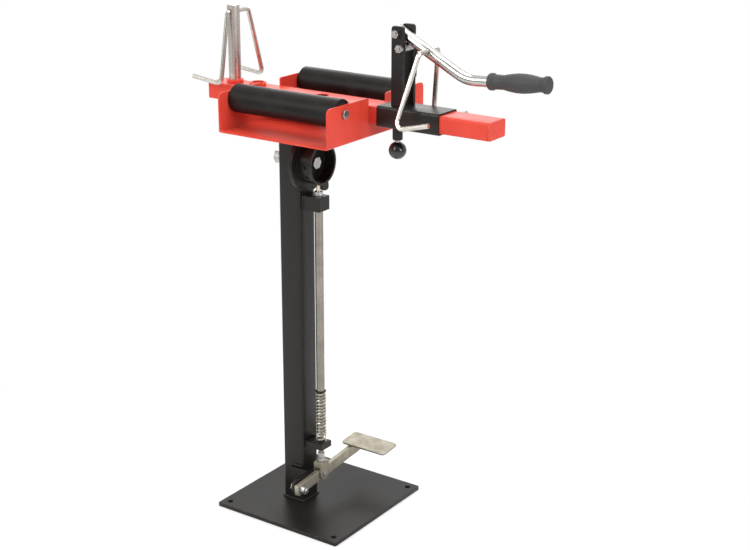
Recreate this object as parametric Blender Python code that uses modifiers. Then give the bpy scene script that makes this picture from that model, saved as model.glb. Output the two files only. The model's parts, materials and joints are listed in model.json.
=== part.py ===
"""Floor-standing manual tyre spreader stand.

Metres, +Z up. X runs along the cross beam, -Y is the side the operator stands on,
and the origin is on the floor under the column's centre line.
"""

from math import cos, hypot, pi, radians, sin, tan

import bmesh
import bpy
from mathutils import Vector

NAME = "tyre_spreader_stand"
GAP = 0.0003

# Base plate and column
BASE_SIDE = 0.300
BASE_THICK = 0.008
BASE_CENTRE = (0.026, 0.023)
BASE_HOLE_INSET = 0.018
BASE_HOLE_R = 0.0055
COLUMN_X = -0.005
COLUMN_SIDE = 0.050
COLUMN_WALL = 0.003
COLUMN_TOP = 0.782

# Tilting head
AXLE_Z = 0.7275
AXLE_R = 0.008
DRUM_R = 0.0417
DRUM_X0 = 0.0205
DRUM_X1 = 0.0597
FLANGE_R = 0.0590
FLANGE_T = 0.0080
INDEX_X = 0.048
INDEX_STEP_DEG = 30
TRAY_X0 = -0.0655
TRAY_X1 = 0.1850
TRAY_HALF_Y = 0.1547
TRAY_Z0 = 0.8020
TRAY_Z1 = 0.8758
TRAY_SHEET = 0.003

# Cross beam and its sockets
BEAM_X0 = -0.198
BEAM_X1 = 0.439
BEAM_W = 0.056
BEAM_H = 0.0325
BEAM_Z0 = 0.8287
BEAM_WALL = 0.0025
BEAM_TOP = BEAM_Z0 + BEAM_H
SOCKET_XS = (-0.1528, -0.0960, 0.0596)
SOCKET_R = 0.0124
LATCH_X0 = 0.230
LATCH_PITCH = 0.025
LATCH_COUNT = 4
LATCH_HOLE_R = 0.0054

# Rollers
ROLLER_Y = 0.1045
ROLLER_Z = 0.8593
ROLLER_R = 0.027
ROLLER_BORE_R = 0.0225
ROLLER_AXLE_R = 0.005

# Sliding sleeve with its fork, lever and latch plunger
SLEEVE_X0 = 0.204
SLEEVE_X1 = 0.3365
SLEEVE_WALL = 0.003
SLEEVE_TOP = BEAM_TOP + GAP + SLEEVE_WALL
SLEEVE_BOTTOM = BEAM_Z0 - GAP - SLEEVE_WALL
FORK_X = 0.2415
FORK_W = 0.025
FORK_T = 0.007
FORK_INNER_Y = 0.0140
FORK_TOP = 1.0100
LEVER_PIVOT = (0.240, 0.0, 0.996)
LEVER_DROP_DEG = 27.6
LEVER_R = 0.0105
LEVER_BEND = (0.3742, 0.0, 0.9258)
GRIP_X0 = 0.4215
GRIP_X1 = 0.5380
GRIP_RISE_DEG = 3.35
STOP_X = 0.2480
STOP_Z = 0.9708
STOP_R = 0.0076
PLUNGER_X = LATCH_X0
KNOB_R = 0.0167
KNOB_Z = 0.7790

# Spreading hooks and their post
WIRE_R = 0.0045
POST_R = 0.012
POST_TOP = 1.0130
POST_HOLE_Z = 0.9995
HOOK_TOP_HALF = 0.031
HOOK_FOOT_HALF = 0.064
LEFT_HOOK_SLID = 0.013
RIGHT_HOOK_SLID = -0.005
HOOK_TOP_BEND_R = 0.007
HOOK_FOOT_BEND_R = 0.0115
RIGHT_HOOK_ALONG = 0.0638
RIGHT_HOOK_ABOVE = 0.0031

# Index rod and pedal
ROD_X = 0.048
ROD_R = 0.0083
STEM_R = 0.005
ROD_SHOULDER_Z = 0.1625
GUIDE_X1 = 0.062
GUIDE_TOP = 0.6630
GUIDE_HALF_Y = 0.0165
SPRING_R = 0.01025
SPRING_WIRE_R = 0.0014
SPRING_TURNS = 15
SPRING_Z0 = 0.1442
SPRING_Z1 = 0.2545
PEDAL_PIVOT_Y = -0.072
PEDAL_PIVOT_Z = 0.0667
PEDAL_SLOPE_DEG = 5.4
ARM_HALF_T = 0.005
ARM_HALF_H = 0.011
ARM_LENGTH = 0.236
CLEVIS_PIN_R = 0.004

RED = ("red_powder_coat", (0.80, 0.055, 0.04), 0.0, 0.35)
BLACK = ("black_powder_coat", (0.022, 0.021, 0.020), 0.0, 0.38)
CHROME = ("chromed_tube", (0.78, 0.77, 0.75), 1.0, 0.12)
ZINC = ("zinc_plated_steel", (0.60, 0.58, 0.54), 1.0, 0.32)
BRIGHT = ("bright_fastener_steel", (0.66, 0.65, 0.63), 1.0, 0.25)
RAW = ("bare_rolled_steel", (0.42, 0.39, 0.35), 1.0, 0.45)
BRASS = ("yellow_passivated_pin", (0.62, 0.50, 0.26), 1.0, 0.30)
ROLLER = ("black_roller_sleeve", (0.018, 0.018, 0.018), 0.0, 0.42)
GRIP = ("black_rubber_grip", (0.030, 0.030, 0.031), 0.0, 0.60)
KNOB = ("black_phenolic_ball", (0.012, 0.012, 0.012), 0.0, 0.15)
NYLON = ("nylon_bush", (0.014, 0.013, 0.012), 0.0, 0.45)

PARTS = None
CUTTERS = None


def start_scene():
    """Empties the scene and makes the two collections."""
    global PARTS, CUTTERS
    for obj in list(bpy.data.objects):
        bpy.data.objects.remove(obj, do_unlink=True)
    PARTS = bpy.data.collections.new(NAME)
    CUTTERS = bpy.data.collections.new("cutters")
    for collection in (PARTS, CUTTERS):
        bpy.context.scene.collection.children.link(collection)
    CUTTERS.hide_render = True


def material(look):
    """The Principled material of this look, made once."""
    name, colour, metallic, roughness = look
    found = bpy.data.materials.get(name)
    if found:
        return found
    made = bpy.data.materials.new(name)
    made.use_nodes = True
    shader = made.node_tree.nodes["Principled BSDF"]
    shader.inputs["Base Color"].default_value = (*colour, 1.0)
    shader.inputs["Metallic"].default_value = metallic
    shader.inputs["Roughness"].default_value = roughness
    made.diffuse_color = (*colour, 1.0)
    return made


def empty(name, at, parent=None):
    """A joint frame or group: an empty at a world position."""
    obj = bpy.data.objects.new(name, None)
    obj.empty_display_size = 0.03
    PARTS.objects.link(obj)
    place(obj, at, parent)
    return obj


def world_at(obj):
    """World position of an unrotated empty."""
    at = Vector(obj.location)
    while obj.parent:
        obj = obj.parent
        at += obj.location
    return at


def place(obj, at, parent):
    obj.parent = parent
    obj.location = Vector(at) - (world_at(parent) if parent else Vector())


def finish(obj, look, at, parent, turn=(0, 0, 0)):
    """Links an object with its material, or as a cutter when it has no look."""
    if look is None:
        CUTTERS.objects.link(obj)
        obj.hide_render = True
        obj.display_type = "WIRE"
    else:
        PARTS.objects.link(obj)
        obj.data.materials.append(material(look))
    place(obj, at, parent)
    obj.rotation_euler = turn
    return obj


def from_bmesh(name, bm):
    mesh = bpy.data.meshes.new(name)
    bm.to_mesh(mesh)
    bm.free()
    return bpy.data.objects.new(name, mesh)


def smooth(obj, angle=35):
    obj.data.shade_smooth()
    obj.data.set_sharp_from_angle(angle=radians(angle))


def bevel(obj, width, segments=2, angle=40):
    made = obj.modifiers.new("edge_rounding", "BEVEL")
    made.width = width
    made.segments = segments
    made.limit_method = "ANGLE"
    made.angle_limit = radians(angle)
    return obj


def box(name, low, high, look=None, parent=None, origin=None):
    """A box between two world corners, with its origin at its centre or at `origin`."""
    centre = (Vector(low) + Vector(high)) / 2
    origin = Vector(origin) if origin else centre
    bm = bmesh.new()
    bmesh.ops.create_cube(bm, size=1.0)
    bmesh.ops.scale(bm, vec=Vector(high) - Vector(low), verts=bm.verts)
    bmesh.ops.translate(bm, vec=centre - origin, verts=bm.verts)
    return finish(from_bmesh(name, bm), look, origin, parent)


TURN = {"X": (0, pi / 2, 0), "Y": (-pi / 2, 0, 0), "Z": (0, 0, 0)}
ALONG = {"X": Vector((1, 0, 0)), "Y": Vector((0, 1, 0)), "Z": Vector((0, 0, 1))}


def rod(name, axis, start, length, radius, look=None, parent=None, sides=24, turn=None):
    """A round or, with six sides, a hexagonal bar from `start` along an axis."""
    bm = bmesh.new()
    bmesh.ops.create_cone(
        bm, cap_ends=True, segments=sides, radius1=radius, radius2=radius, depth=length
    )
    at = Vector(start) + ALONG[axis] * length / 2
    obj = finish(from_bmesh(name, bm), look, at, parent, turn or TURN[axis])
    if sides > 6:
        smooth(obj)
    return obj


def turned(name, axis, at, profile, look=None, parent=None, steps=32):
    """A turned piece: (radius, height) points down its outer side, screwed round an axis."""
    closed = profile[0][0] > 0
    mesh = bpy.data.meshes.new(name)
    count = len(profile)
    edges = [(i, (i + 1) % count) for i in range(count if closed else count - 1)]
    mesh.from_pydata([(r, 0, h) for r, h in profile], edges, [])
    obj = finish(bpy.data.objects.new(name, mesh), look, at, parent, TURN[axis])
    screw = obj.modifiers.new("turning", "SCREW")
    screw.steps = steps
    screw.render_steps = steps
    screw.use_merge_vertices = True
    screw.merge_threshold = 0.00001
    screw.use_smooth_shade = True
    return obj


def flat_outline(name, outlines, thickness):
    """An extruded flat outline as a mesh, the later outlines being holes in the first."""
    curve = bpy.data.curves.new(name, "CURVE")
    curve.dimensions = "2D"
    curve.fill_mode = "BOTH"
    curve.extrude = thickness / 2
    for points in outlines:
        spline = curve.splines.new("POLY")
        spline.points.add(len(points) - 1)
        spline.use_cyclic_u = True
        for point, (x, y) in zip(spline.points, points):
            point.co = (x, y, 0, 1)
    return meshed(name, curve)


def meshed(name, curve):
    """A curve made into a closed mesh object, the curve being removed."""
    guide = bpy.data.objects.new(name + "_curve", curve)
    CUTTERS.objects.link(guide)
    bpy.context.view_layer.update()
    graph = bpy.context.evaluated_depsgraph_get()
    mesh = bpy.data.meshes.new_from_object(guide.evaluated_get(graph))
    mesh.name = name
    mesh.materials.clear()
    obj = bpy.data.objects.new(name, mesh)
    obj.matrix_world = guide.matrix_world
    bpy.data.objects.remove(guide, do_unlink=True)
    bpy.data.curves.remove(curve)
    bm = bmesh.new()
    bm.from_mesh(mesh)
    bmesh.ops.remove_doubles(bm, verts=bm.verts, dist=1e-6)
    bmesh.ops.recalc_face_normals(bm, faces=bm.faces)
    bm.to_mesh(mesh)
    bm.free()
    return obj


# A 2D outline drawn in (u, v) stands in the world with its thickness along the named axis:
# along X it is drawn in (y, z), along Y in (x, z), and along Z in (x, y).
STAND = {"X": (pi / 2, 0, pi / 2), "Y": (pi / 2, 0, 0), "Z": (0, 0, 0)}


def plate(name, axis, at, thickness, outlines, look=None, parent=None):
    """A flat plate whose outlines are measured from `at`, centred on it in thickness."""
    obj = flat_outline(name, outlines, thickness)
    return finish(obj, look, at, parent, STAND[axis])


def rectangle(u0, v0, u1, v1, radius=0.0, steps=4):
    """Corner-rounded rectangle, counter-clockwise."""
    if not radius:
        return [(u0, v0), (u1, v0), (u1, v1), (u0, v1)]
    corners = ((u1, v0, -1, 1, -90), (u1, v1, -1, -1, 0), (u0, v1, 1, -1, 90), (u0, v0, 1, 1, 180))
    points = []
    for u, v, du, dv, first in corners:
        for k in range(steps + 1):
            a = radians(first + 90 * k / steps)
            points.append((u + du * radius + radius * cos(a), v + dv * radius + radius * sin(a)))
    return points


def circle(u, v, radius, sides=24):
    return [
        (u + radius * cos(2 * pi * k / sides), v + radius * sin(2 * pi * k / sides))
        for k in range(sides)
    ]


def hexagon(across_flats):
    return circle(0, 0, across_flats / 2 / cos(pi / 6), 6)


def boolean(obj, tool, operation):
    made = obj.modifiers.new(operation.lower(), "BOOLEAN")
    made.operation = operation
    made.object = tool
    made.solver = "EXACT"
    return obj


def cut(obj, *tools):
    for tool in tools:
        boolean(obj, tool, "DIFFERENCE")
    return obj


def weld(obj, *tools):
    for tool in tools:
        boolean(obj, tool, "UNION")
    return obj


def bolt(name, axis, at, shank_r, reach, head_af, head_h, look, parent, flip=False):
    """A hexagon-headed bolt: its head's bearing face is at `at`, its shank runs along the axis."""
    way = -1 if flip else 1
    shank_start = Vector(at) + ALONG[axis] * (-head_h / 2 if not flip else -reach)
    shank = rod(name, axis, shank_start, reach + head_h / 2, shank_r, look, parent, 20)
    bevel(shank, min(0.0012, shank_r * 0.2), 1)
    head_start = Vector(at) - ALONG[axis] * (head_h if way > 0 else 0)
    head = rod(name + "_head", axis, head_start, head_h, head_af / 2 / cos(pi / 6), sides=6)
    bevel(head, 0.0007, 1)
    return weld(shank, head)


def nut(name, axis, at, across_flats, height, bore_r, look, parent):
    """A plain hexagon nut from `at` along the axis."""
    centre = Vector(at) + ALONG[axis] * height / 2
    outlines = [hexagon(across_flats), circle(0, 0, bore_r, 14)]
    return bevel(plate(name, axis, centre, height, outlines, look, parent), 0.0005, 1)


def filleted(points, radii, steps=6):
    """Points of a path whose inner corners are rounded, each to its own radius."""
    path = [Vector(points[0])]
    for before, corner, after, radius in zip(points, points[1:], points[2:], radii):
        corner = Vector(corner)
        back = (Vector(before) - corner).normalized()
        on = (Vector(after) - corner).normalized()
        half = back.angle(on) / 2
        tangent = radius / tan(half)
        centre = corner + (back + on).normalized() * (radius / sin(half))
        first = corner + back * tangent - centre
        last = corner + on * tangent - centre
        sweep = first.angle(last)
        for k in range(steps + 1):
            t = k / steps
            path.append(
                centre + (first * sin((1 - t) * sweep) + last * sin(t * sweep)) / sin(sweep)
            )
    path.append(Vector(points[-1]))
    return path


def wire(name, path, radius, look, at, parent, resolution=2):
    """A round bar along a path of world points, its origin at `at`."""
    curve = bpy.data.curves.new(name, "CURVE")
    curve.dimensions = "3D"
    curve.bevel_depth = radius
    curve.bevel_resolution = resolution
    curve.use_fill_caps = True
    spline = curve.splines.new("POLY")
    spline.points.add(len(path) - 1)
    for point, co in zip(spline.points, path):
        point.co = (*(Vector(co) - Vector(at)), 1)
    obj = meshed(name, curve)
    finish(obj, look, at, parent)
    smooth(obj, 50)
    return obj


def make_base(stand):
    x, y = BASE_CENTRE
    half = BASE_SIDE / 2
    inset = half - BASE_HOLE_INSET
    outlines = [rectangle(-half, -half, half, half, 0.003, 2)]
    outlines += [circle(i * inset, j * inset, BASE_HOLE_R, 16) for i in (-1, 1) for j in (-1, 1)]
    base = plate("base_plate", "Z", (x, y, BASE_THICK / 2), BASE_THICK, outlines, BLACK, stand)
    bevel(base, 0.0006, 1)


def make_column(stand):
    """Square tube with a closed top and a weld bead round its foot."""
    foot = BASE_THICK + GAP
    half = COLUMN_SIDE / 2
    inner = half - COLUMN_WALL
    outlines = [
        rectangle(-half, -half, half, half, 0.005, 4),
        rectangle(-inner, -inner, inner, inner, 0.002, 2),
    ]
    height = COLUMN_TOP - foot
    centre = (COLUMN_X, 0, foot + height / 2)
    column = plate("column", "Z", centre, height, outlines, BLACK, stand)
    left, right = COLUMN_X - half, COLUMN_X + half
    cap = box("column_cap", (left + 0.0015, 0.0015 - half, COLUMN_TOP - 0.0040),
              (right - 0.0015, half - 0.0015, COLUMN_TOP - 0.0005))
    out = 0.0018
    bead = box("foot_weld", (left - out, -half - out, foot + 0.0004),
               (right + out, half + out, foot + 0.0030))
    bevel(bead, 0.0011, 1)
    bead_bore = box("foot_weld_bore", (left + 0.001, 0.001 - half, foot - 0.01),
                    (right - 0.001, half - 0.001, foot + 0.02))
    cut(bead, bead_bore)
    weld(column, cap, bead)
    bush_hole = rod("pivot_bush_hole", "X", (left - 0.01, 0, AXLE_Z), 0.08, 0.0123)
    cut(column, bush_hole)


def make_pivot(stand):
    """The head's axle: a long bolt through a bush that crosses the column."""
    bush = [(0.0085, 0.0556), (0.0120, 0.0556), (0.0120, 0.0), (0.0085, 0.0)]
    turned("pivot_bush", "X", (-0.0354, 0, AXLE_Z), bush, BLACK, stand, 24)
    head_face = 0.0380
    bolt("pivot_bolt", "X", (head_face, 0, AXLE_Z), AXLE_R, 0.0922, 0.022, 0.0085, BRIGHT, stand,
         flip=True)
    washer = [(0.0083, 0.0020), (0.0150, 0.0020), (0.0150, 0.0), (0.0083, 0.0)]
    turned("pivot_washer", "X", (-0.0377, 0, AXLE_Z), washer, BRIGHT, stand, 24)
    nut("pivot_nut", "X", (-0.0515, 0, AXLE_Z), 0.024, 0.0135, AXLE_R + GAP, BRIGHT, stand)


def make_rod_guides(stand):
    """The block and the plate on the column that the index rod slides through."""
    start = COLUMN_X + COLUMN_SIDE / 2 + GAP
    middle = (start + GUIDE_X1) / 2
    half = (GUIDE_X1 - start) / 2
    for name, low, high, bore in (
        ("upper_rod_guide", 0.6345, GUIDE_TOP, ROD_R + 0.0005),
        ("lower_rod_guide", 0.1310, 0.1440, STEM_R + 0.0005),
    ):
        outlines = [
            rectangle(-half, -GUIDE_HALF_Y, half, GUIDE_HALF_Y),
            circle(ROD_X - middle, 0, bore, 24),
        ]
        block = plate(name, "Z", (middle, 0, (low + high) / 2), high - low, outlines, BLACK, stand)
        bevel(block, 0.0008, 1)
    at = (ROD_X, 0, GUIDE_TOP + GAP)
    nut("guide_cap_nut", "Z", at, 0.0165, 0.0088, 0.0049, BRIGHT, stand)


def make_pedal_bracket(stand):
    """An angle welded to the column's front face, whose forward leg carries the pedal pivot."""
    face = -COLUMN_SIDE / 2 - GAP
    low, high = 0.0510, 0.0845
    angle_outline = [
        (-0.007, face), (-0.007, face - 0.006), (0.0355, face - 0.006), (0.0355, -0.0850),
        (0.0415, -0.0850), (0.0415, face),
    ]
    middle = (low + high) / 2
    bracket = plate("pedal_bracket", "Z", (0, 0, middle), high - low, [angle_outline], BLACK, stand)
    tip = PEDAL_PIVOT_Y
    radius = 0.0130
    middle_z = (low + high) / 2
    side = [(0.0, low - 0.001), (0.0, high + 0.001)]
    for k in range(9):
        a = radians(90 + 180 * k / 8)
        side.append((tip + radius * cos(a), middle_z + (high - low) / 2 * sin(a)))
    side_view = plate("bracket_side_view", "X", (0.02, 0, 0), 0.08, [side])
    boolean(bracket, side_view, "INTERSECT")
    hole = rod("pedal_bolt_hole", "X", (0.0, tip, PEDAL_PIVOT_Z), 0.08, 0.0054)
    cut(bracket, hole)


def make_pedal_pivot(stand):
    y, z = PEDAL_PIVOT_Y, PEDAL_PIVOT_Z
    bolt("pedal_pivot_bolt", "X", (0.0352, y, z), 0.005, 0.0310, 0.016, 0.0055, BRIGHT, stand)
    washer = [(0.0053, 0.0011), (0.0100, 0.0011), (0.0100, 0.0), (0.0053, 0.0)]
    turned("pedal_pivot_washer", "X", (0.0533, y, z), washer, BRIGHT, stand, 24)
    nut("pedal_pivot_nut", "X", (0.0547, y, z), 0.016, 0.0078, 0.0053, BRIGHT, stand)


def make_index_drum(head):
    """A disc with a cup on its outer side; the cup's wall has sockets for the lock pin."""
    at = (DRUM_X0, 0, AXLE_Z)
    length = DRUM_X1 - DRUM_X0
    wall_r = DRUM_R - 0.0055
    web = 0.0148
    profile = [
        (AXLE_R + 0.0004, web), (wall_r, web), (wall_r + 0.001, length), (DRUM_R, length),
        (DRUM_R, length - 0.005), (DRUM_R - 0.0012, length - 0.006),
        (DRUM_R - 0.0012, FLANGE_T), (FLANGE_R - 0.001, FLANGE_T),
        (FLANGE_R, FLANGE_T - 0.001), (FLANGE_R, 0.001), (FLANGE_R - 0.001, 0.0),
        (AXLE_R + 0.0004, 0.0),
    ]
    drum = turned("index_drum", "X", at, profile, BLACK, head, 48)
    for angle in range(-90, 91, INDEX_STEP_DEG):
        a = radians(angle - 90)
        deep = 0.0120 if angle == 0 else 0.0035
        hole = rod(f"index_hole_{angle + 90}", "Z", (0, 0, 0), 0.020, 0.0050, sides=12)
        out = Vector((0, cos(a), sin(a)))
        hole.location = Vector((INDEX_X, 0, AXLE_Z)) + out * (DRUM_R - deep + 0.010)
        hole.rotation_euler = out.to_track_quat("Z", "Y").to_euler()
        cut(drum, hole)
    outline = rectangle(-0.0010, AXLE_Z - 0.0535, 0.0172, AXLE_Z - 0.0366, 0.0060, 5)
    lug = plate("drum_lug", "X", (DRUM_X1 - 0.0031, 0, 0), 0.0060, [outline])
    weld(drum, lug)


def make_saddle(head):
    """The welded neck that carries the tray on the drum."""
    low = (DRUM_X0 + FLANGE_T + GAP, -0.0230, AXLE_Z + 0.025)
    high = (0.0560, 0.0230, TRAY_Z0 - GAP)
    saddle = box("head_saddle", low, high, BLACK, head)
    bevel(saddle, 0.0015, 1)
    cut(saddle, rod("saddle_hollow", "X", (0.0, 0, AXLE_Z), 0.08, DRUM_R + GAP, sides=40))


def make_tray(head):
    """A folded channel whose end walls carry the rollers and are notched for the beam."""
    half = TRAY_HALF_Y
    bend = 0.004
    outer = [(TRAY_X0, TRAY_Z1), (TRAY_X0, TRAY_Z0 + bend)]
    inner = [(TRAY_X1 - TRAY_SHEET, TRAY_Z1), (TRAY_X1 - TRAY_SHEET, TRAY_Z0 + bend)]
    for k in range(1, 5):
        a = radians(180 + 22.5 * k)
        outer.append((TRAY_X0 + bend + bend * cos(a), TRAY_Z0 + bend + bend * sin(a)))
    for k in range(5):
        a = radians(270 + 22.5 * k)
        outer.append((TRAY_X1 - bend + bend * cos(a), TRAY_Z0 + bend + bend * sin(a)))
    outer.append((TRAY_X1, TRAY_Z1))
    small = bend - TRAY_SHEET
    for k in range(3):
        a = radians(0 - 45 * k)
        inner.append((TRAY_X1 - bend + small * cos(a), TRAY_Z0 + bend + small * sin(a)))
    for k in range(3):
        a = radians(270 - 45 * k)
        inner.append((TRAY_X0 + bend + small * cos(a), TRAY_Z0 + bend + small * sin(a)))
    inner.append((TRAY_X0 + TRAY_SHEET, TRAY_Z1))
    channel = outer + [inner[0]] + inner[2:]
    tray = plate("roller_tray", "Y", (0, 0, 0), 2 * half, [channel], RED, head)

    corner = 0.010
    notch = BEAM_W / 2 + GAP
    side = [(-half, TRAY_Z0 - 0.01), (half, TRAY_Z0 - 0.01)]
    for centre_y, first in ((half - corner, 0), (-notch - 0.004, 0)):
        reach = corner if centre_y > 0 else 0.004
        side += [
            (centre_y + reach * cos(radians(first + 90 * k / 5)),
             TRAY_Z1 - reach + reach * sin(radians(first + 90 * k / 5)))
            for k in range(6)
        ]
        if centre_y > 0:
            side += [
                (notch + 0.004 + 0.004 * cos(radians(90 + 90 * k / 3)),
                 TRAY_Z1 - 0.004 + 0.004 * sin(radians(90 + 90 * k / 3)))
                for k in range(4)
            ]
            side += [(notch, BEAM_Z0 - GAP), (-notch, BEAM_Z0 - GAP)]
    side += [
        (-half + corner + corner * cos(radians(90 + 90 * k / 5)),
         TRAY_Z1 - corner + corner * sin(radians(90 + 90 * k / 5)))
        for k in range(6)
    ]
    holes = [circle(y, ROLLER_Z, ROLLER_AXLE_R + GAP, 16) for y in (-ROLLER_Y, ROLLER_Y)]
    middle = (TRAY_X0 + TRAY_X1) / 2
    side_view = plate("tray_side_view", "X", (middle, 0, 0), 0.30, [side] + holes)
    boolean(tray, side_view, "INTERSECT")


def make_beam(head):
    """Rectangular tube with three post sockets on top and latch holes underneath."""
    half_w = BEAM_W / 2
    half_h = BEAM_H / 2
    wall = BEAM_WALL
    outlines = [
        rectangle(-half_w, -half_h, half_w, half_h, 0.0035, 3),
        rectangle(wall - half_w, wall - half_h, half_w - wall, half_h - wall, 0.0015, 2),
    ]
    end = 0.0030 + GAP
    x0, x1 = BEAM_X0 + end, BEAM_X1 - end
    centre = ((x0 + x1) / 2, 0, BEAM_Z0 + half_h)
    beam = plate("cross_beam", "X", centre, x1 - x0, outlines, RED, head)
    for k, x in enumerate(SOCKET_XS):
        cut(beam, rod(f"socket_{k}", "Z", (x, 0, BEAM_TOP - 0.006), 0.012, SOCKET_R + 0.0002))
    for k in range(LATCH_COUNT):
        x = LATCH_X0 + k * LATCH_PITCH
        cut(beam, rod(f"latch_hole_{k}", "Z", (x, 0, BEAM_Z0 - 0.004), 0.009, LATCH_HOLE_R,
                      sides=16))
    for name, low, high in (("beam_cap_left", BEAM_X0, x0 - GAP), ("beam_cap_right", x1 + GAP,
                                                                     BEAM_X1)):
        cap = plate(name, "X", ((low + high) / 2, 0, BEAM_Z0 + half_h), high - low,
                    [outlines[0]], RED, head)
        bevel(cap, 0.0008, 1)
    collar = [
        (SOCKET_R, 0.0070), (0.0150, 0.0070), (0.0165, 0.0055), (0.0165, 0.0), (SOCKET_R, 0.0),
    ]
    for name, x in zip(("post_collar", "spare_collar"), SOCKET_XS):
        turned(name, "Z", (x, 0, BEAM_TOP + GAP), collar, RED, head)


def make_rollers(head):
    """Two long rollers, each on a bolt through the tray's end walls and two nylon end bushes."""
    inner0 = TRAY_X0 + TRAY_SHEET
    inner1 = TRAY_X1 - TRAY_SHEET
    x0, x1 = inner0 + 0.0012, inner1 - 0.0012
    length = x1 - x0
    for side, y in (("front", -ROLLER_Y), ("back", ROLLER_Y)):
        axis = empty(f"{side}_roller_axis", (0.5 * (x0 + x1), y, ROLLER_Z), head)
        shell = [
            (ROLLER_BORE_R, length), (ROLLER_R - 0.0015, length), (ROLLER_R, length - 0.0015),
            (ROLLER_R, 0.0015), (ROLLER_R - 0.0015, 0.0), (ROLLER_BORE_R, 0.0),
        ]
        turned(f"{side}_roller", "X", (x0, y, ROLLER_Z), shell, ROLLER, axis, 40)
        bore = ROLLER_AXLE_R + 0.0004
        outer = ROLLER_BORE_R - GAP
        bush = [(bore, 0.014), (outer, 0.014), (outer, 0.0), (bore, 0.0)]
        turned(f"{side}_roller_bush_left", "X", (x0 + 0.0010, y, ROLLER_Z), bush, NYLON, axis, 24)
        turned(f"{side}_roller_bush_right", "X", (x1 - 0.0150, y, ROLLER_Z), bush, NYLON, axis, 24)
        reach = TRAY_X1 - TRAY_X0 + 0.0110
        bolt(f"{side}_roller_bolt", "X", (TRAY_X1 + GAP, y, ROLLER_Z), ROLLER_AXLE_R, reach, 0.016,
             0.0055, BRIGHT, head, flip=True)
        nut(f"{side}_roller_nut", "X", (TRAY_X0 - 0.0083, y, ROLLER_Z), 0.016, 0.0080,
            ROLLER_AXLE_R + GAP, BRIGHT, head)


def make_sleeve(slider):
    """The sleeve on the beam, with the plunger's housing under it."""
    middle = (SLEEVE_X0 + SLEEVE_X1) / 2
    half_w = BEAM_W / 2 + GAP
    half_h = BEAM_H / 2 + GAP
    wall = SLEEVE_WALL
    outlines = [
        rectangle(-half_w - wall, -half_h - wall, half_w + wall, half_h + wall, 0.0045, 3),
        rectangle(-half_w, -half_h, half_w, half_h, 0.002, 2),
    ]
    centre = (middle, 0, BEAM_Z0 + BEAM_H / 2)
    sleeve = plate("slider_sleeve", "X", centre, SLEEVE_X1 - SLEEVE_X0, outlines, BLACK, slider)
    cut(sleeve, rod("plunger_hole", "Z", (PLUNGER_X, 0, SLEEVE_BOTTOM - 0.005), 0.012, 0.0054,
                    sides=16))
    top = SLEEVE_BOTTOM - GAP
    housing = [(0.0073, 0.0), (0.0095, 0.0), (0.0095, -0.0230), (0.0090, -0.0260),
               (0.0058, -0.0260), (0.0058, -0.0235), (0.0073, -0.0235)]
    turned("plunger_housing", "Z", (PLUNGER_X, 0, top), housing, BLACK, slider, 24)


def make_fork(slider):
    """Two uprights on the sleeve, with the lever's pivot bolt and the stop bolt."""
    foot = SLEEVE_TOP + GAP
    half = FORK_W / 2
    corner = 0.006
    height = FORK_TOP - foot
    outer = FORK_INNER_Y + FORK_T
    for side, sign in (("front", -1), ("back", 1)):
        outline = [(-half, 0), (half, 0)]
        outline += rectangle(-half, height - 0.03, half, height, corner, 5)[6:18]
        pivot = circle(LEVER_PIVOT[0] - FORK_X, LEVER_PIVOT[2] - foot, 0.0043, 16)
        stop = circle(STOP_X - FORK_X, STOP_Z - foot, 0.0043, 16)
        y = sign * (FORK_INNER_Y + FORK_T / 2)
        bar = plate(f"fork_plate_{side}", "Y", (FORK_X, y, foot), FORK_T, [outline, pivot, stop],
                    BLACK, slider)
        bevel(bar, 0.0009, 1)
    for label, x, z in (("lever_pivot", LEVER_PIVOT[0], LEVER_PIVOT[2]), ("stop", STOP_X, STOP_Z)):
        face = outer + GAP + (0.0043 if label == "stop" else 0.0)
        bolt(f"{label}_bolt", "Y", (x, face, z), 0.004, face + 0.0300, 0.013, 0.0052, BRIGHT,
             slider, flip=True)
        nut(f"{label}_nut", "Y", (x, -outer - GAP - 0.0065, z), 0.013, 0.0065, 0.0043, BRIGHT,
            slider)
    width, length = 0.0075, 0.0580
    strap = [(-width, 0), (-0.7 * width, -length + 0.004)]
    strap += [
        (0.7 * width * cos(radians(a)), -length + 0.004 + 0.7 * width * sin(radians(a)))
        for a in range(210, 331, 30)
    ]
    strap += [(0.7 * width, -length + 0.004), (width, 0)]
    strap += [(width * cos(radians(a)), width * sin(radians(a))) for a in range(30, 151, 30)]
    at = (STOP_X, outer + GAP + 0.0020, STOP_Z)
    plate("keeper_strap", "Y", at, 0.0040, [strap, circle(0, 0, 0.0043, 14)], BLACK, slider)
    spacer_h = 2 * FORK_INNER_Y - 0.0006
    spacer = [(0.0043, spacer_h), (STOP_R, spacer_h), (STOP_R, 0.0), (0.0043, 0.0)]
    turned("stop_spacer", "Y", (STOP_X, -spacer_h / 2, STOP_Z), spacer, BRIGHT, slider, 24)


def make_plunger(plunger):
    """The latch pin with its collar, its spring and its ball knob."""
    tip = BEAM_Z0 - 0.0005
    top = SLEEVE_BOTTOM - GAP
    neck_end = KNOB_Z + 0.010
    profile = [
        (0.0, tip), (0.0036, tip), (0.0048, tip - 0.0012), (0.0048, top - 0.002),
        (0.0068, top - 0.002), (0.0068, top - 0.005), (0.0052, top - 0.005),
        (0.0052, neck_end), (0.0, neck_end),
    ]
    base = Vector((PLUNGER_X, 0, 0))
    turned("plunger_pin", "Z", base, profile, BRIGHT, plunger, 24)
    bore_floor = 0.0097
    ball = [(0.0, bore_floor), (0.0055, bore_floor)]
    for a in range(20, 171, 15):
        ball.append((KNOB_R * sin(radians(a)), KNOB_R * cos(radians(a))))
    ball.append((0.0, -KNOB_R))
    turned("plunger_knob", "Z", (PLUNGER_X, 0, KNOB_Z), ball, KNOB, plunger, 24)


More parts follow.
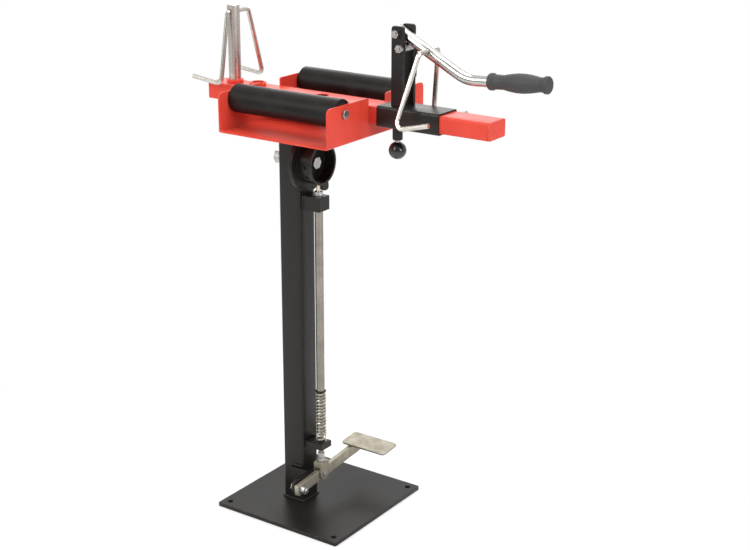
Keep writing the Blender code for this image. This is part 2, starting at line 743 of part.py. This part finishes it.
def make_plunger_spring(slider):
    """Small compression spring between the pin's collar and the housing's floor."""
    top = SLEEVE_BOTTOM - GAP
    radius, wire_r, turns, per_turn = 0.0062, 0.0004, 6, 12
    z0, z1 = top - 0.0235 + wire_r + GAP, top - 0.005 - wire_r - GAP
    path = []
    for k in range(turns * per_turn + 1):
        a = 2 * pi * k / per_turn
        z = z0 + (z1 - z0) * k / (turns * per_turn)
        path.append((PLUNGER_X + radius * cos(a), radius * sin(a), z))
    wire("plunger_spring", path, wire_r, ZINC, (PLUNGER_X, 0, z0), slider, 0)


def make_lever(lever):
    """Bent tube with a cross bush at the pivot, a cross hole for the hook and a grip."""
    pivot = Vector(LEVER_PIVOT)
    drop = radians(LEVER_DROP_DEG)
    down = Vector((cos(drop), 0, -sin(drop)))
    rise = radians(GRIP_RISE_DEG)
    on = Vector((cos(rise), 0, sin(rise)))
    bend = Vector(LEVER_BEND)
    end = bend + on * (GRIP_X1 - 0.004 - bend.x) / cos(rise)
    path = filleted([pivot - down * 0.012, bend, end], [0.070], 8)
    tube = wire("lever_tube", path, LEVER_R, CHROME, pivot, lever, 4)
    cut(tube, rod("lever_bush_hole", "Y", pivot - Vector((0, 0.02, 0)), 0.04, 0.0068))
    up = Vector((sin(drop), 0, cos(drop)))
    hole_at = pivot + down * RIGHT_HOOK_ALONG + up * RIGHT_HOOK_ABOVE
    cut(tube, rod("hook_hole", "Y", hole_at - Vector((0, 0.02, 0)), 0.04, WIRE_R + 0.0004,
                  sides=20))
    half = FORK_INNER_Y - 0.0005
    bush = [(0.0043, half), (0.0065, half), (0.0065, -half), (0.0043, -half)]
    turned("lever_bush", "Y", pivot, bush, BRIGHT, lever, 24)
    length = (GRIP_X1 - GRIP_X0) / cos(rise)
    bore = LEVER_R + GAP
    grip = [(0.0, length), (0.0136, length), (0.0155, length - 0.002), (0.0155, length - 0.007),
            (0.0131, length - 0.011)]
    for k in range(9):
        t = k / 8
        h = length - 0.018 - t * (length - 0.046)
        grip.append((0.0129 + 0.0045 * sin(pi * t), h))
    grip += [(0.0131, 0.018), (0.0131, 0.011), (0.0152, 0.008), (0.0152, 0.002), (0.0138, 0.0),
             (bore, 0.0), (bore, length - 0.0035), (0.0, length - 0.0035)]
    start = bend + on * (GRIP_X0 - bend.x) / cos(rise)
    obj = turned("lever_grip", "X", start, grip, GRIP, lever, 24)
    obj.rotation_euler = (0, pi / 2 - rise, 0)
    return hole_at


def hook_path(pivot, slid, foot, tip):
    """A bail slid along its crossbar: two splayed legs down to `foot` and prongs to `tip`."""
    half = []
    for sign in (-1, 1):
        points = []
        for (x, z), reach in ((tip, HOOK_FOOT_HALF), (foot, HOOK_FOOT_HALF), ((0, 0), HOOK_TOP_HALF)):
            points.append(pivot + Vector((x, slid + sign * reach, z)))
        half.append(points)
    radii = [HOOK_FOOT_BEND_R, HOOK_TOP_BEND_R, HOOK_TOP_BEND_R, HOOK_FOOT_BEND_R]
    return filleted(half[0] + half[1][::-1], radii, 4)


def make_hooks(right, right_at, left, left_at):
    path = hook_path(right_at, RIGHT_HOOK_SLID, (-0.0288, -0.1342), (0.0427, -0.1173))
    wire("right_hook", path, WIRE_R, ZINC, right_at, right)
    path = hook_path(left_at, LEFT_HOOK_SLID, (0.0072, -0.1335), (-0.0631, -0.1250))
    wire("left_hook", path, WIRE_R, ZINC, left_at, left)


def make_post(post):
    x = SOCKET_XS[0]
    foot = BEAM_Z0 + BEAM_WALL + GAP
    profile = [
        (0.0, POST_TOP), (POST_R - 0.0015, POST_TOP), (POST_R, POST_TOP - 0.0015),
        (POST_R, foot + 0.0015), (POST_R - 0.0015, foot), (0.0, foot),
    ]
    post_bar = turned("post", "Z", (x, 0, 0), profile, ZINC, post, 32)
    cut(post_bar, rod("post_hook_hole", "Y", (x, -0.02, POST_HOLE_Z), 0.04, WIRE_R + 0.0006,
                      sides=20))


def make_index_rod(slide):
    """Rod with its stem, lock pin, spring seat and nuts, and the clevis below."""
    x = ROD_X
    top = GUIDE_TOP - GAP
    profile = [
        (0.0, top), (ROD_R - 0.001, top), (ROD_R, top - 0.001), (ROD_R, ROD_SHOULDER_Z),
        (STEM_R, ROD_SHOULDER_Z), (STEM_R, 0.1010), (0.0, 0.1010),
    ]
    turned("index_rod", "Z", (x, 0, 0), profile, ZINC, slide, 28)
    seat = [
        (ROD_R + GAP, SPRING_Z1 + 0.0016), (0.0112, SPRING_Z1 + 0.0016), (0.0112, SPRING_Z1),
        (ROD_R + GAP, SPRING_Z1),
    ]
    turned("spring_seat", "Z", (x, 0, 0), seat, BLACK, slide, 28)
    pin_foot = top + GAP
    tip = AXLE_Z - DRUM_R - 0.0006
    pin = [
        (0.0, tip), (0.0036, tip), (0.0044, tip - 0.0009), (0.0044, pin_foot), (0.0, pin_foot),
    ]
    turned("lock_pin", "Z", (x, 0, 0), pin, BRASS, slide, 24)
    top_z, low_z = 0.1005, 0.0600
    pin_z = clevis_pin_z()
    half_x = 0.0095
    half_y = 0.0130
    slot = ARM_HALF_T + 0.0004
    fork = [
        (-half_x, low_z - 0.002), (-slot, low_z - 0.002), (-slot, top_z - 0.012),
        (slot, top_z - 0.012), (slot, low_z - 0.002), (half_x, low_z - 0.002),
        (half_x, top_z), (-half_x, top_z),
    ]
    clevis = plate("clevis", "Y", (x, 0, 0), 2 * half_y, [fork], RAW, slide)
    side = [(half_y, top_z + 0.001), (-half_y, top_z + 0.001)]
    for k in range(11):
        a = radians(180 + 180 * k / 10)
        side.append((half_y * cos(a), pin_z + half_y * sin(a)))
    side_view = plate("clevis_side_view", "X", (x, 0, 0), 0.05,
                      [side, circle(0, pin_z, CLEVIS_PIN_R + GAP, 16)])
    boolean(clevis, side_view, "INTERSECT")
    nut("clevis_nut", "Z", (x, 0, top_z + GAP), 0.0150, 0.0070, STEM_R + GAP, BRIGHT, slide)
    nut("stem_nut", "Z", (x, 0, top_z + 0.0076), 0.0130, 0.0115, STEM_R + GAP, BRIGHT, slide)
    bolt("clevis_pin", "X", (x + half_x + GAP, 0, pin_z), CLEVIS_PIN_R, 0.0205, 0.0120, 0.0022,
         BRIGHT, slide, flip=True)


def clevis_pin_z():
    """Height of the clevis pin: on the arm's centre line, straight under the rod."""
    return PEDAL_PIVOT_Z - PEDAL_PIVOT_Y * tan(radians(PEDAL_SLOPE_DEG))


def make_return_spring(stand):
    z0 = SPRING_Z0 + SPRING_WIRE_R + GAP
    z1 = SPRING_Z1 - SPRING_WIRE_R - GAP
    per_turn = 12
    count = SPRING_TURNS * per_turn
    path = []
    for k in range(count + 1):
        a = 2 * pi * k / per_turn
        path.append((ROD_X + SPRING_R * cos(a), SPRING_R * sin(a), z0 + (z1 - z0) * k / count))
    wire("return_spring", path, SPRING_WIRE_R, ZINC, (ROD_X, 0, SPRING_Z0), stand, 1)


def make_pedal(pedal):
    """Flat bar on edge from the pivot, through the clevis, to the tread plate."""
    slope = radians(PEDAL_SLOPE_DEG)
    y, z = PEDAL_PIVOT_Y, PEDAL_PIVOT_Z
    back = -0.0125
    h = ARM_HALF_H
    outline = rectangle(back, -h, ARM_LENGTH + back, h, 0.002, 2)
    reach = hypot(-y, clevis_pin_z() - z)
    holes = [circle(0, 0, 0.0055, 16), circle(reach, 0, CLEVIS_PIN_R + 0.0007, 16)]
    arm = plate("pedal_arm", "X", (ROD_X, y, z), 2 * ARM_HALF_T, [outline] + holes, RAW, pedal)
    arm.rotation_euler = (pi / 2, -slope, pi / 2)
    bevel(arm, 0.0006, 1)
    along = Vector((0, cos(slope), sin(slope)))
    up = Vector((0, -sin(slope), cos(slope)))
    tread_t = 0.004
    seat = Vector((0.080, y, z)) + along * (ARM_LENGTH + back - 0.024)
    seat += up * (h + GAP + tread_t / 2)
    half_x, half_y, chamfer = 0.055, 0.026, 0.008
    tread = rectangle(-half_x, -half_y, half_x, half_y, chamfer, 3)
    obj = plate("pedal_tread", "Z", seat, tread_t, [tread], RAW, pedal)
    obj.rotation_euler = (slope, 0, 0)
    bevel(obj, 0.0008, 1)


def main():
    start_scene()
    stand = empty("stand", (0, 0, 0))
    head = empty("head_pivot", (0, 0, AXLE_Z), stand)
    slider = empty("slider", (FORK_X, 0, BEAM_Z0), head)
    plunger = empty("plunger_slide", (PLUNGER_X, 0, SLEEVE_BOTTOM), slider)
    lever = empty("lever_pivot", LEVER_PIVOT, slider)
    post = empty("post_seat", (SOCKET_XS[0], 0, BEAM_TOP), head)
    left_at = Vector((SOCKET_XS[0], 0, POST_HOLE_Z))
    left = empty("left_hook_pivot", left_at, post)
    slide = empty("index_rod_slide", (ROD_X, 0, ROD_SHOULDER_Z), stand)
    pedal = empty("pedal_pivot", (ROD_X, PEDAL_PIVOT_Y, PEDAL_PIVOT_Z), stand)

    make_base(stand)
    make_column(stand)
    make_pivot(stand)
    make_rod_guides(stand)
    make_pedal_bracket(stand)
    make_pedal_pivot(stand)
    make_index_drum(head)
    make_saddle(head)
    make_tray(head)
    make_beam(head)
    make_rollers(head)
    make_sleeve(slider)
    make_fork(slider)
    make_plunger(plunger)
    make_plunger_spring(slider)
    right_at = make_lever(lever)
    right = empty("right_hook_pivot", right_at, lever)
    make_hooks(right, right_at, left, left_at)
    make_post(post)
    make_index_rod(slide)
    make_return_spring(stand)
    make_pedal(pedal)


main()
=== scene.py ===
"""Looks for a floor-standing manual tyre spreader stand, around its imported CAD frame."""

import json
import math

import bmesh
import bpy
from mathutils import Matrix, Vector


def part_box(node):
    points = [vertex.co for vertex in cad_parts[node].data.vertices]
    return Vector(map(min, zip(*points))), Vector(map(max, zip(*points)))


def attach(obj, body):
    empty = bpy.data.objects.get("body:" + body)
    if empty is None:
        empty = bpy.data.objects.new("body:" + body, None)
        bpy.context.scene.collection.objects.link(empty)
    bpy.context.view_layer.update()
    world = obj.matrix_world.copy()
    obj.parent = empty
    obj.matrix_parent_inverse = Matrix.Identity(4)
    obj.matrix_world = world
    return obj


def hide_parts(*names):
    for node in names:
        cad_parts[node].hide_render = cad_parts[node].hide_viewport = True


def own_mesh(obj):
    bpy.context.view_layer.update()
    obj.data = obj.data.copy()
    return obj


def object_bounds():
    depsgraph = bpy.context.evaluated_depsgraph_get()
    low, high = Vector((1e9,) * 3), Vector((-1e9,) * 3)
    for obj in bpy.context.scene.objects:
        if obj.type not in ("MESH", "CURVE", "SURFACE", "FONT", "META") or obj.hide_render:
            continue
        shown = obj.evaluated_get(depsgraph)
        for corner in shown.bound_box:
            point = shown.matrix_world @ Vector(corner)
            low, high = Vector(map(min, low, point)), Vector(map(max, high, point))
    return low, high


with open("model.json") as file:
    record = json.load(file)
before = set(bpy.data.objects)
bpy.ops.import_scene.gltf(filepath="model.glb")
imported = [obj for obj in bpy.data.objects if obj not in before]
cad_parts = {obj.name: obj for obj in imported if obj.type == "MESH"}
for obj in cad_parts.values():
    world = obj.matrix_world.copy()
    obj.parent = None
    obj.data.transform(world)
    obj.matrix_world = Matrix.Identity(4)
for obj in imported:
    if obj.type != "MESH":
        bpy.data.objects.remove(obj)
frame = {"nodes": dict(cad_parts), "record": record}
CAD_BOX = [list(corner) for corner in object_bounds()]
NODES = frame["nodes"]
RECORD = frame["record"]

CAMERA_AT = Vector((1.6958, -2.1905, 1.4328))
CAMERA_YAW = 0.6061
CAMERA_PITCH = 0.3276
CAMERA_ROLL = 0.0023
CAMERA_LENS = 70.8
CAMERA_SHIFT_X = 0.0017
SENSOR = 36.0

SMOOTH_DEG = 32
WELD_GAP = 1e-5

FLOOR_HALF = 40.0
FLOOR_DROP = 0.0002
FLOOR_BOUNCE = (0.80, 0.80, 0.80)
FADE_FROM = 0.20
FADE_TO = 0.95

BEAD_STEP = 0.0008
BEAD_RIPPLE = 0.0050
BEAD_SIDES = 10
GUIDE_BEAD_R = 0.0024
GUIDE_BEAD_OUT = 0.0006
FOOT_BEAD_R = 0.0022
FOOT_BEAD_INSET = 0.0015
FOOT_BEAD_UP = 0.0012
BRACKET_BEAD_R = 0.0040
BRACKET_BEAD_UP = 0.0035
BRACKET_BEAD_END = 0.0035

# name, place, target, size in metres, power in watts
MIDDLE = (0.1, 0.0, 0.6)
LIGHTS = (
    ("key", (-0.9, -3.0, 2.4), MIDDLE, (1.6, 1.6), 56),
    ("side", (3.2, -0.6, 1.9), MIDDLE, (1.4, 1.8), 46),
    ("top", (0.2, 0.4, 3.6), MIDDLE, (2.4, 2.4), 46),
    ("card", (-0.55, 1.25, 1.40), (0.22, 0.0, 0.87), (1.3, 0.7), 5.5),
)
BACKDROP_WAY = (-0.54, 0.78, 0.32)


# ---------------------------------------------------------------- materials


def new_material(name):
    """A material whose nodes are only its Principled shader and its output."""
    mat = bpy.data.materials.new(name)
    mat.use_nodes = True
    tree = mat.node_tree
    tree.nodes.clear()
    out = tree.nodes.new("ShaderNodeOutputMaterial")
    shader = tree.nodes.new("ShaderNodeBsdfPrincipled")
    tree.links.new(shader.outputs[0], out.inputs[0])
    return mat, tree, shader


def link(tree, source, target):
    tree.links.new(source, target)


def coords(tree, stretch=(1, 1, 1)):
    """Object coordinates in metres, stretched along the grain."""
    where = tree.nodes.new("ShaderNodeTexCoord")
    mapping = tree.nodes.new("ShaderNodeMapping")
    mapping.inputs["Scale"].default_value = stretch
    link(tree, where.outputs["Object"], mapping.inputs["Vector"])
    return mapping.outputs[0]


def noise(tree, vector, scale, detail=3.0, rough=0.55):
    node = tree.nodes.new("ShaderNodeTexNoise")
    node.inputs["Scale"].default_value = scale
    node.inputs["Detail"].default_value = detail
    node.inputs["Roughness"].default_value = rough
    link(tree, vector, node.inputs["Vector"])
    return node.outputs["Fac"]


def spread(tree, value, low, high, to_low, to_high):
    """Maps a value from low..high to to_low..to_high, clamped."""
    node = tree.nodes.new("ShaderNodeMapRange")
    limits = {"From Min": low, "From Max": high, "To Min": to_low, "To Max": to_high}
    for key, number in limits.items():
        node.inputs[key].default_value = number
    link(tree, value, node.inputs["Value"])
    return node.outputs["Result"]


def mix(tree, factor, first, second):
    """Colour mix; each colour is a tuple or a socket."""
    node = tree.nodes.new("ShaderNodeMix")
    node.data_type = "RGBA"
    for index, value in ((0, factor), (6, first), (7, second)):
        socket = node.inputs[index]
        if isinstance(value, bpy.types.NodeSocket):
            link(tree, value, socket)
        elif isinstance(value, float):
            socket.default_value = value
        else:
            socket.default_value = (*value, 1.0)
    return node.outputs[2]


def times(tree, first, second):
    node = tree.nodes.new("ShaderNodeMath")
    node.operation = "MULTIPLY"
    for socket, value in zip(node.inputs, (first, second)):
        if isinstance(value, bpy.types.NodeSocket):
            link(tree, value, socket)
        else:
            socket.default_value = value
    return node.outputs[0]


def edge_wear(tree, radius, low, high):
    """1 along sharp edges and 0 on flat faces."""
    soft = tree.nodes.new("ShaderNodeBevel")
    soft.samples = 4
    soft.inputs["Radius"].default_value = radius
    flat = tree.nodes.new("ShaderNodeNewGeometry")
    dot = tree.nodes.new("ShaderNodeVectorMath")
    dot.operation = "DOT_PRODUCT"
    link(tree, soft.outputs[0], dot.inputs[0])
    link(tree, flat.outputs["Normal"], dot.inputs[1])
    return spread(tree, dot.outputs["Value"], high, low, 0.0, 1.0)


def bump(tree, shader, height, strength, distance, rounding=0.0):
    """Bump, on top of edges that are rounded in shading where rounding is set."""
    node = tree.nodes.new("ShaderNodeBump")
    node.inputs["Strength"].default_value = strength
    node.inputs["Distance"].default_value = distance
    link(tree, height, node.inputs["Height"])
    if rounding:
        soft = tree.nodes.new("ShaderNodeBevel")
        soft.samples = 4
        soft.inputs["Radius"].default_value = rounding
        link(tree, soft.outputs[0], node.inputs["Normal"])
    link(tree, node.outputs[0], shader.inputs["Normal"])


def powder_coat(name, base, deep, worn, rough, specular):
    """Powder coat: orange peel, cloudy colour, and paler worn edges."""
    mat, tree, shader = new_material(name)
    at = coords(tree)
    cloud = spread(tree, noise(tree, at, 9.0, 4.0), 0.35, 0.65, 0.0, 1.0)
    fine = spread(tree, noise(tree, at, 950.0, 2.0), 0.3, 0.7, 0.0, 1.0)
    colour = mix(tree, cloud, deep, base)
    patchy = spread(tree, noise(tree, at, 60.0, 5.0), 0.48, 0.66, 0.0, 1.0)
    edge = times(tree, edge_wear(tree, 0.0012, 0.90, 0.985), patchy)
    colour = mix(tree, times(tree, edge, 0.7), colour, worn)
    link(tree, colour, shader.inputs["Base Color"])
    sheen = spread(tree, cloud, 0.0, 1.0, rough - 0.04, rough + 0.06)
    link(tree, sheen, shader.inputs["Roughness"])
    shader.inputs["Specular IOR Level"].default_value = specular
    bump(tree, shader, fine, 0.10, 0.0004, 0.0009)
    return mat


def plated(name, base, dark, rough, stretch=(1, 1, 1), mottle=30.0, metal=1.0, strength=0.08):
    """Plated or bare steel: drawn or rolled grain, mottling and duller patches."""
    mat, tree, shader = new_material(name)
    at = coords(tree, stretch)
    grain = noise(tree, at, 260.0, 4.0, 0.6)
    patch = spread(tree, noise(tree, coords(tree), mottle, 6.0, 0.65), 0.36, 0.66, 0.0, 1.0)
    colour = mix(tree, patch, dark, base)
    streak = spread(tree, grain, 0.3, 0.7, 0.0, 0.35)
    colour = mix(tree, streak, colour, tuple(c * 0.72 for c in base))
    link(tree, colour, shader.inputs["Base Color"])
    shader.inputs["Metallic"].default_value = metal
    sheen = spread(tree, patch, 0.0, 1.0, rough + 0.12, rough - 0.05)
    link(tree, sheen, shader.inputs["Roughness"])
    bump(tree, shader, grain, strength, 0.0002, 0.0005)
    return mat


def chrome(name):
    """Polished chrome with faint polishing haze."""
    mat, tree, shader = new_material(name)
    haze = noise(tree, coords(tree, (1, 6, 6)), 55.0, 4.0)
    dull = spread(tree, haze, 0.35, 0.7, 0.0, 1.0)
    colour = mix(tree, dull, (0.57, 0.555, 0.53), (0.46, 0.445, 0.42))
    link(tree, colour, shader.inputs["Base Color"])
    shader.inputs["Metallic"].default_value = 1.0
    link(tree, spread(tree, haze, 0.3, 0.7, 0.17, 0.26), shader.inputs["Roughness"])
    bump(tree, shader, noise(tree, coords(tree, (1, 4, 4)), 160.0, 2.0), 0.03, 0.0002)
    return mat


def polymer(name, base, rough, grain_scale, strength, specular=0.5, coat=0.0):
    """Rubber or plastic with a moulded grain and a little dust."""
    mat, tree, shader = new_material(name)
    at = coords(tree)
    dust = spread(tree, noise(tree, at, 24.0, 5.0), 0.45, 0.72, 0.0, 0.35)
    link(tree, mix(tree, dust, base, tuple(c + 0.018 for c in base)), shader.inputs["Base Color"])
    link(tree, spread(tree, dust, 0.0, 0.35, rough, rough + 0.10), shader.inputs["Roughness"])
    shader.inputs["Specular IOR Level"].default_value = specular
    shader.inputs["Coat Weight"].default_value = coat
    shader.inputs["Coat Roughness"].default_value = 0.04
    bump(tree, shader, noise(tree, at, grain_scale, 3.0), strength, 0.0003)
    return mat


MATERIALS = {
    "red_powder_coat": powder_coat("red_powder_coat", (0.80, 0.078, 0.046), (0.72, 0.060, 0.038),
                                   (0.90, 0.36, 0.30), 0.36, 0.24),
    "black_powder_coat": powder_coat("black_powder_coat", (0.0135, 0.0110, 0.0090),
                                     (0.0090, 0.0075, 0.0062), (0.14, 0.13, 0.12), 0.36, 0.36),
    "chromed_tube": chrome("chromed_tube"),
    "zinc_plated_steel": plated("zinc_plated_steel", (0.76, 0.715, 0.66), (0.56, 0.52, 0.47), 0.27,
                                (2, 2, 0.6), 42.0),
    "drawn_steel_rod": plated("drawn_steel_rod", (0.36, 0.325, 0.28), (0.27, 0.245, 0.21), 0.27,
                              (8, 8, 0.3), 26.0, strength=0.05),
    "spring_wire": plated("spring_wire", (0.68, 0.64, 0.56), (0.50, 0.46, 0.39), 0.30,
                          mottle=160.0),
    "bright_fastener_steel": plated("bright_fastener_steel", (0.62, 0.61, 0.59), (0.46, 0.45, 0.43),
                                    0.32, mottle=90.0),
    "bare_rolled_steel": plated("bare_rolled_steel", (0.48, 0.440, 0.355), (0.34, 0.310, 0.245),
                                0.42, (1, 4, 4), 46.0, 0.85, 0.16),
    "yellow_passivated_pin": plated("yellow_passivated_pin", (0.78, 0.72, 0.56), (0.62, 0.54, 0.38),
                                    0.28, mottle=120.0),
    "black_roller_sleeve": polymer("black_roller_sleeve", (0.0085, 0.0068, 0.0060), 0.40, 420.0,
                                   0.06, 0.22),
    "black_rubber_grip": polymer("black_rubber_grip", (0.044, 0.044, 0.044), 0.56, 700.0, 0.25),
    "black_ball_knob": polymer("black_ball_knob", (0.008, 0.008, 0.008), 0.16, 200.0, 0.01,
                               0.5, 0.5),
    "nylon_bush": polymer("nylon_bush", (0.014, 0.013, 0.012), 0.5, 500.0, 0.1),
}

# nodes whose finish differs from the rest of their slot
OWN_FINISH = {
    "index_rod": "drawn_steel_rod",
    "return_spring": "spring_wire",
}


def dress_cad_nodes():
    """Every CAD node gets its slot's material, and shading that is smooth across shallow edges."""
    for part in RECORD["subparts"]:
        obj = NODES[part["node"]]
        mesh = obj.data
        if "custom_normal" in mesh.attributes:
            mesh.attributes.remove(mesh.attributes["custom_normal"])
        mesh.shade_smooth()
        weld = obj.modifiers.new("weld", "WELD")
        weld.merge_threshold = WELD_GAP
        split = obj.modifiers.new("split", "EDGE_SPLIT")
        split.split_angle = math.radians(SMOOTH_DEG)
        mesh.materials.clear()
        finish = OWN_FINISH.get(part["node"], part["material_slot"])
        mesh.materials.append(MATERIALS[finish])


# -------------------------------------------------------------- weld beads


def add_piece(name, form, slot, body):
    """A new piece from a bmesh, in its slot's material, that rides on a body."""
    mesh = bpy.data.meshes.new(name)
    form.to_mesh(mesh)
    form.free()
    mesh.shade_smooth()
    mesh.materials.append(MATERIALS[slot])
    piece = bpy.data.objects.new(name, mesh)
    bpy.context.scene.collection.objects.link(piece)
    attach(piece, body)
    return piece


def even_points(path, step, closed):
    """Points about one step apart along a polyline."""
    ends = path + path[:1] if closed else path
    points = []
    for start, end in zip(ends, ends[1:]):
        start, end = Vector(start), Vector(end)
        count = max(1, round((end - start).length / step))
        points += [start.lerp(end, k / count) for k in range(count)]
    if not closed:
        points.append(Vector(ends[-1]))
    return points


def weld_bead(name, path, radius, slot, body, closed=False, seed=0.0):
    """A rippled bead: a tube whose radius swells once a ripple and wanders a little."""
    points = even_points(path, BEAD_STEP, closed)
    form = bmesh.new()
    rings = []
    total = len(points)
    for k, point in enumerate(points):
        after = points[(k + 1) % total] if closed or k + 1 < total else point
        before = points[k - 1] if closed or k else point
        along = (after - before).normalized()
        side = along.orthogonal().normalized()
        up = along.cross(side)
        ripple = abs(math.sin(math.pi * k * BEAD_STEP / BEAD_RIPPLE + seed))
        wander = math.sin(0.37 * k + 3.0 * seed) * math.sin(0.11 * k + seed)
        size = radius * (0.70 + 0.30 * ripple + 0.12 * wander)
        if not closed:
            size *= min(1.0, 0.45 + 0.25 * min(k, total - 1 - k))
        ring = []
        for j in range(BEAD_SIDES):
            turn = 2 * math.pi * j / BEAD_SIDES
            spoke = math.cos(turn) * side + math.sin(turn) * up
            ring.append(form.verts.new(point + size * spoke))
        rings.append(ring)
    pairs = list(zip(rings, rings[1:]))
    if closed:
        pairs.append((rings[-1], rings[0]))
    for first, second in pairs:
        for j in range(BEAD_SIDES):
            i = (j + 1) % BEAD_SIDES
            form.faces.new((first[j], first[i], second[i], second[j]))
    if not closed:
        form.faces.new(rings[0][::-1])
        form.faces.new(rings[-1])
    bmesh.ops.recalc_face_normals(form, faces=form.faces)
    return add_piece(name, form, slot, body)


def rod_guide_beads(node):
    """A bead up the front and the back edge of a block on the column's right face."""
    low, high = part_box(node)
    x = low.x + GUIDE_BEAD_OUT
    for name, y in (("front", low.y), ("back", high.y)):
        path = [(x, y, low.z - 0.001), (x, y, high.z)]
        weld_bead(f"{node}_{name}_bead", path, GUIDE_BEAD_R, "black_powder_coat", "stand",
                  seed=low.z)


def foot_bead():
    """The bead round the column's foot, over the plain fillet of the CAD node."""
    low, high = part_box("column")
    inset = FOOT_BEAD_INSET
    z = low.z + FOOT_BEAD_UP
    path = [(low.x + inset, low.y + inset, z), (high.x - inset, low.y + inset, z),
            (high.x - inset, high.y - inset, z), (low.x + inset, high.y - inset, z)]
    weld_bead("column_foot_bead", path, FOOT_BEAD_R, "black_powder_coat", "stand", closed=True,
              seed=0.4)


def bracket_bead():
    """The bead along the bracket's top edge, standing up against the column's front face."""
    low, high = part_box("pedal_bracket")
    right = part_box("column")[1].x - BRACKET_BEAD_END
    z = high.z + BRACKET_BEAD_UP
    path = [(low.x, high.y, z), (right, high.y, z)]
    weld_bead("pedal_bracket_bead", path, BRACKET_BEAD_R, "black_powder_coat", "stand", seed=0.9)


# ---------------------------------------------------------------- springs


def moving_spring(node, body):
    """A copy of a coil that rides on a body, in place of its hidden CAD node."""
    piece = bpy.data.objects.new(f"{node}_coil", NODES[node].data.copy())
    bpy.context.scene.collection.objects.link(piece)
    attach(piece, body)
    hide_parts(node)
    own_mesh(piece)


# ------------------------------------------------------------------- studio


def look_rotation(yaw, pitch, roll):
    """Camera rotation from yaw left of +Y, pitch downwards and roll."""
    return (
        Matrix.Rotation(yaw, 4, "Z")
        @ Matrix.Rotation(math.pi / 2 - pitch, 4, "X")
        @ Matrix.Rotation(roll, 4, "Z")
    )


def make_camera():
    data = bpy.data.cameras.new("camera")
    data.lens = CAMERA_LENS
    data.sensor_width = SENSOR
    data.shift_x = CAMERA_SHIFT_X
    camera = bpy.data.objects.new("camera", data)
    bpy.context.scene.collection.objects.link(camera)
    camera.matrix_world = Matrix.Translation(CAMERA_AT) @ look_rotation(
        CAMERA_YAW, CAMERA_PITCH, CAMERA_ROLL)
    bpy.context.scene.camera = camera


def make_floor():
    """A pale studio floor that takes a soft shadow, fades to white, and reflects a little less."""
    mesh = bpy.data.meshes.new("studio_floor")
    form = bmesh.new()
    bmesh.ops.create_grid(form, x_segments=2, y_segments=2, size=FLOOR_HALF)
    form.to_mesh(mesh)
    form.free()
    floor = bpy.data.objects.new("studio_floor", mesh)
    floor.location = (0.0, 0.0, CAD_BOX[0][2] - FLOOR_DROP)
    bpy.context.scene.collection.objects.link(floor)
    mat, tree, shader = new_material("pale_floor")
    shade = noise(tree, coords(tree), 1.2, 2.0)
    pale = mix(tree, shade, (0.93, 0.93, 0.93), (0.97, 0.97, 0.97))
    ray = tree.nodes.new("ShaderNodeLightPath")
    seen = ray.outputs["Is Camera Ray"]
    link(tree, mix(tree, seen, FLOOR_BOUNCE, pale), shader.inputs["Base Color"])
    shader.inputs["Roughness"].default_value = 0.9
    shader.inputs["Specular IOR Level"].default_value = 0.1
    white = tree.nodes.new("ShaderNodeEmission")
    length = tree.nodes.new("ShaderNodeVectorMath")
    length.operation = "LENGTH"
    link(tree, coords(tree), length.inputs[0])
    far = spread(tree, length.outputs["Value"], FADE_FROM, FADE_TO, 0.35, 1.0)
    choose = tree.nodes.new("ShaderNodeMixShader")
    link(tree, times(tree, far, seen), choose.inputs[0])
    link(tree, shader.outputs[0], choose.inputs[1])
    link(tree, white.outputs[0], choose.inputs[2])
    out = next(node for node in tree.nodes if node.type == "OUTPUT_MATERIAL")
    link(tree, choose.outputs[0], out.inputs[0])
    mesh.materials.append(mat)


def make_world():
    """White to the camera; to everything else bright behind the object and dimmer in front."""
    world = bpy.data.worlds.new("studio")
    bpy.context.scene.world = world
    world.use_nodes = True
    tree = world.node_tree
    tree.nodes.clear()
    out = tree.nodes.new("ShaderNodeOutputWorld")
    seen = tree.nodes.new("ShaderNodeBackground")
    seen.inputs["Color"].default_value = (1, 1, 1, 1)
    lit = tree.nodes.new("ShaderNodeBackground")
    ray = tree.nodes.new("ShaderNodeLightPath")
    choose = tree.nodes.new("ShaderNodeMixShader")
    where = tree.nodes.new("ShaderNodeTexCoord")
    dot = tree.nodes.new("ShaderNodeVectorMath")
    dot.operation = "DOT_PRODUCT"
    dot.inputs[1].default_value = BACKDROP_WAY
    link(tree, where.outputs["Generated"], dot.inputs[0])
    link(tree, spread(tree, dot.outputs["Value"], -0.55, 0.35, 0.34, 1.0), lit.inputs["Strength"])
    link(tree, ray.outputs["Is Camera Ray"], choose.inputs[0])
    link(tree, lit.outputs[0], choose.inputs[1])
    link(tree, seen.outputs[0], choose.inputs[2])
    link(tree, choose.outputs[0], out.inputs[0])


def make_light(name, at, target, size, power):
    data = bpy.data.lights.new(name, "AREA")
    data.shape = "RECTANGLE"
    data.size, data.size_y = size
    data.energy = power
    light = bpy.data.objects.new(name, data)
    light.location = at
    light.rotation_euler = (Vector(target) - Vector(at)).to_track_quat("-Z", "Y").to_euler()
    light.visible_camera = False
    bpy.context.scene.collection.objects.link(light)


def set_colour():
    settings = bpy.context.scene.view_settings
    settings.view_transform = "Standard"
    settings.look = "None"


dress_cad_nodes()
rod_guide_beads("upper_rod_guide")
rod_guide_beads("lower_rod_guide")
foot_bead()
bracket_bead()
moving_spring("return_spring", "stand")
moving_spring("plunger_spring", "slider")
make_floor()
make_world()
for light_row in LIGHTS:
    make_light(*light_row)
make_camera()
set_colour()
